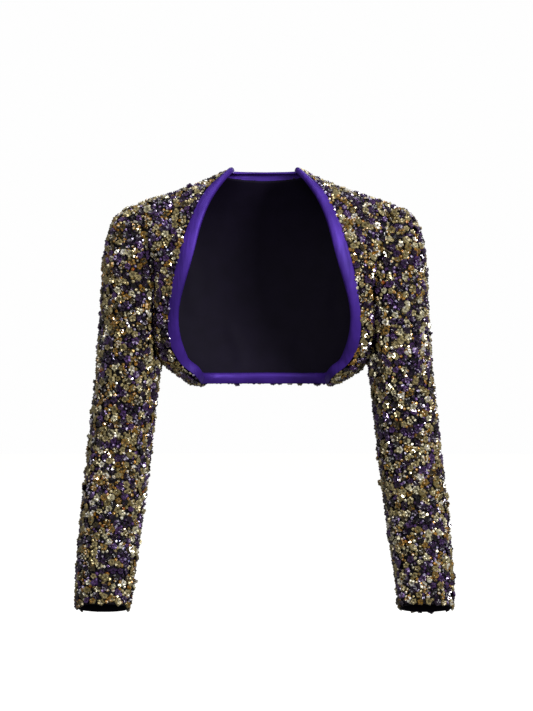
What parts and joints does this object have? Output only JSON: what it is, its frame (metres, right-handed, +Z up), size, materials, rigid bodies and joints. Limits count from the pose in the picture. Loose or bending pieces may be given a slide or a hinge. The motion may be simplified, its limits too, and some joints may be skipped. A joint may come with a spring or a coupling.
{
  "type": "bolero jacket",
  "caption": "Cropped open bolero jacket with long tapering sleeves, sequinned cloth and a satin band round its edge, held in its worn shape.",
  "frame": {"origin": "middle of the neck opening, level with the top of the band where the shoulders meet the neck", "axes": "+Z up, -Y the front of the garment, +X the wearer's left"},
  "size_m": [0.575, 0.2074, 0.685],
  "materials": {
    "sequins": "plum cloth covered with bronze and violet sequins",
    "satin": "violet satin"
  },
  "bodies": {
    "root": {"front_left": "sequins", "front_right": "sequins", "back": "sequins", "sleeve_left": "sequins", "sleeve_right": "sequins", "band_front_left": "satin", "band_front_right": "satin", "band_neck": "satin", "band_hem": "satin"}
  },
  "joints": []
}
